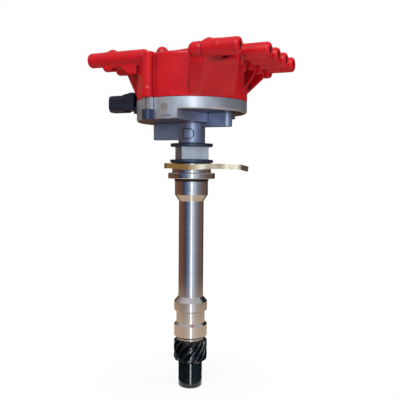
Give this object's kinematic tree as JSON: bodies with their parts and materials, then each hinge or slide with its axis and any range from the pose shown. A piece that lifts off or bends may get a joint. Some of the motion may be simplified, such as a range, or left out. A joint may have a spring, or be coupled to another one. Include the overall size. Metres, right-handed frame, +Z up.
{
  "type": "ignition distributor",
  "caption": "Engine ignition distributor: red cap with plug towers to both sides, round cast bowl with side connector, long stem, helical drive gear and fork hold-down clamp.",
  "frame": {"origin": "centre of the mounting flange's lower face, on the shaft's axis", "axes": "+Z up the shaft towards the cap, +X towards the right bank of plug towers, +Y along the banks away from the coil tower"},
  "size_m": [0.1775, 0.1229, 0.3182],
  "materials": {
    "cast_aluminium": "satin",
    "seal_rubber": "matte",
    "bronze": "satin",
    "bright_steel": "satin",
    "spring_steel": "satin",
    "black_iron": "satin",
    "black_moulding": "satin",
    "brass": "satin",
    "carbon": "matte",
    "red_moulding": "gloss",
    "yellow_zinc_steel": "satin"
  },
  "bodies": {
    "housing": {"base_housing": "cast_aluminium", "housing_plug": "cast_aluminium", "vent_screens": "bright_steel", "flange_o_ring": "seal_rubber", "cap_seal": "seal_rubber", "sensor_gasket": "seal_rubber", "upper_bushing": "bronze", "lower_bushing": "bronze", "cap_electrodes": "brass", "plug_leads": "brass", "plug_terminals": "brass", "coil_lead": "brass", "coil_terminal": "brass", "brush_spring": "spring_steel", "distributor_cap": "red_moulding", "cap_screws": "bright_steel", "sensor_pins": "brass", "cam_sensor": "black_moulding", "sensor_screws": "bright_steel"},
    "shaft": {"shaft": "bright_steel", "shaft_circlip": "spring_steel", "drive_gear": "black_iron", "gear_hub": "black_iron", "gear_roll_pin": "spring_steel", "thrust_washers": "bright_steel", "shutter_hub": "bright_steel", "shutter_wheel": "bright_steel", "rotor": "black_moulding", "rotor_blade": "brass", "rotor_screws": "bright_steel"},
    "clamp": {"hold_down_clamp": "yellow_zinc_steel"},
    "brush": {"carbon_brush": "carbon"}
  },
  "joints": [
    {"name": "shaft_spin", "type": "hinge", "parent": "housing", "child": "shaft", "pos_m": [0, 0, 0], "axis": [0, 0, 1], "continuous": true},
    {"name": "clamp_swivel", "type": "hinge", "parent": "housing", "child": "clamp", "pos_m": [0, 0, 0], "axis": [0, 0, 1], "continuous": true},
    {"name": "brush_slide", "type": "slide", "parent": "housing", "child": "brush", "axis": [0, 0, 1], "range_m": [0, 0.0015], "stiffness_N_per_m": 120, "springref_m": -0.003, "deforming": ["brush_spring"]}
  ]
}
